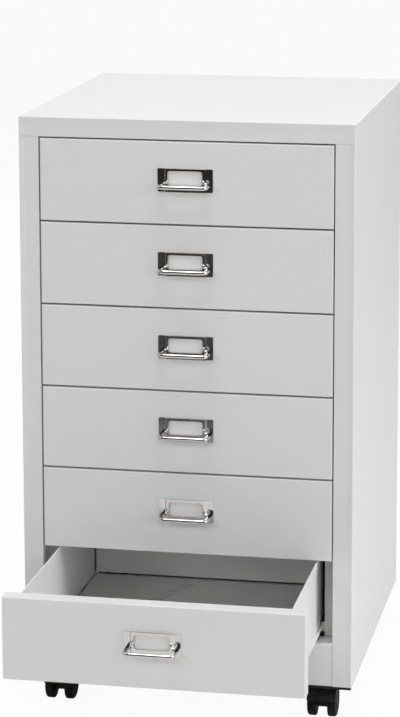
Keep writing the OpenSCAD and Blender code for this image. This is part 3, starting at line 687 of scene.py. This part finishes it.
screw_tree, fixing, fixing_in, fixing_out = new_build(
    "screws_on_points",
    [("Screw", "NodeSocketObject", None), ("Lean", "NodeSocketVector", (0, 0, 0)),
     ("Seed", "NodeSocketInt", 3), ("Finish", "NodeSocketMaterial", None)])
screw_shape_node = fixing.add("GeometryNodeObjectInfo", Object=fixing_in["Screw"])
spin = fixing.add("FunctionNodeRandomValue", _2=0.0, _3=math.pi, Seed=fixing_in["Seed"])
spin_about = fixing.add("ShaderNodeCombineXYZ", Z=spin.outputs[1])
spun = fixing.add("FunctionNodeEulerToRotation", Euler=spin_about.outputs[0])
lean = fixing.add("FunctionNodeEulerToRotation", Euler=fixing_in["Lean"])
turned_screw = fixing.add("FunctionNodeRotateRotation", {"rotation_space": "LOCAL"},
                          Rotation=lean.outputs[0], Rotate_By=spun.outputs[0])
placed_screws = fixing.add("GeometryNodeInstanceOnPoints", Points=fixing_in["Geometry"],
                           Instance=screw_shape_node.outputs["Geometry"],
                           Rotation=turned_screw.outputs[0])
screws_real = fixing.add("GeometryNodeRealizeInstances", Geometry=placed_screws.outputs[0])
screws_clad = fixing.add("GeometryNodeSetMaterial", Geometry=screws_real.outputs[0],
                         Material=fixing_in["Finish"])
fixing.join(screws_clad.outputs[0], fixing_out["Geometry"])

screw_zinc = zinc_material("screw_zinc", (300.0, 300.0, 300.0))
low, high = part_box("back_screws")
back_rows = 4
back_points = []
for x in (low[0] + head_d / 2, high[0] - head_d / 2):
    for k in range(back_rows):
        z = low[2] + head_d / 2 + (high[2] - low[2] - head_d) * k / (back_rows - 1)
        back_points.append((x, high[1] - head_t, z))
back_set = grow("back_screw_set", back_points, [], screw_tree,
                {"Screw": screw_blank, "Lean": (-math.pi / 2, 0.0, 0.0), "Seed": 3,
                 "Finish": screw_zinc})
own_mesh("back_screw_set", back_set, "cabinet", ["back_screws"])

low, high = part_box("castor_screws")
middle_y = (low[1] + high[1]) / 2
castor_screw_pitch = 36.0 * mm
castor_points = []
for x in (low[0] + head_d / 2, high[0] - head_d / 2):
    for y in (low[1] + head_d / 2, high[1] - head_d / 2):
        for dx in (0.0, castor_screw_pitch):
            for dy in (0.0, castor_screw_pitch):
                castor_points.append((x - math.copysign(dx, x), y + (dy if y < middle_y else -dy),
                                      low[2] + head_t))
castor_set = grow("castor_screw_set", castor_points, [], screw_tree,
                  {"Screw": screw_blank, "Lean": (math.pi, 0.0, 0.0), "Seed": 5,
                   "Finish": screw_zinc})
own_mesh("castor_screw_set", castor_set, "cabinet", ["castor_screws"])
bpy.data.objects.remove(screw_blank)

# Castors: a black nylon plate with a socket, screwed under each corner of the pan, and a
# housing whose stem turns in it. One wheel stands on each side of the housing's web.
black_nylon = plastic_material("black_nylon", (0.003, 0.003, 0.0031), 0.5, shine=0.06)
wheel_nylon = plastic_material("wheel_nylon", (0.004, 0.004, 0.0042), 0.45, grain_scale=1100.0,
                               dust_height=6.0 * mm, shine=0.15)
soft_edged("castor_plates", "cabinet", black_nylon, moulded_edge)
wheel_w = 10.4 * mm
tread_r = 3.2 * mm
inner_edge_r = 1.9 * mm
dish = 1.0 * mm
rim_w = 4.5 * mm
rim_step = 0.3 * mm
cap_r = 6.2 * mm
cap_rise = 0.7 * mm
groove_w = 1.2 * mm
groove_deep = 0.4 * mm
bore_r = 2.53 * mm
bore_deep = 8.4 * mm
wheel_steps = 64
castor_names = [name for name in frame["bodies"]
                if name.startswith("castor_") and not name.endswith("_wheels")]
for castor in castor_names:
    soft_edged(castor + "_housing", castor, black_nylon, moulded_edge)
    dress(castor + "_axle", screw_zinc)
    low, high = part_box(castor + "_wheels")
    wheel_r = (high[2] - low[2]) / 2
    centre = Vector(((low[0] + high[0]) / 2, (low[1] + high[1]) / 2, (low[2] + high[2]) / 2))
    face = wheel_w - dish
    profile = [(0.0, bore_deep), (bore_r, bore_deep), (bore_r, 0.0), (wheel_r - inner_edge_r, 0.0)]
    profile += round_corner((wheel_r - inner_edge_r, inner_edge_r), inner_edge_r, -90, 0)
    profile += round_corner((wheel_r - tread_r, wheel_w - tread_r), tread_r, 0, 90, steps=8)
    profile += [(wheel_r - rim_w, wheel_w), (wheel_r - rim_w - rim_step, wheel_w - rim_step / 2),
                (wheel_r - rim_w - dish, face), (cap_r + groove_w + groove_deep, face),
                (cap_r + groove_w, face - groove_deep), (cap_r + groove_deep, face - groove_deep),
                (cap_r, face)]
    profile += round_corner((cap_r - cap_rise, face), cap_rise, 0, 90)
    profile += [(0.0, face + cap_rise)]
    both = bmesh.new()
    for side in (-1, 1):
        one = lathe(profile, wheel_steps)
        across = (high[0] - low[0]) / 2 - wheel_w
        stand = Matrix.Translation(centre + Vector((side * across, 0, 0)))
        one.transform(stand @ Matrix.Rotation(side * math.pi / 2, 4, "Y"))
        part = bpy.data.meshes.new("wheel_part")
        one.to_mesh(part)
        one.free()
        both.from_mesh(part)
        bpy.data.meshes.remove(part)
    add_piece(castor + "_wheel_pair", both, castor + "_wheels", wheel_nylon,
              [castor + "_wheels"])
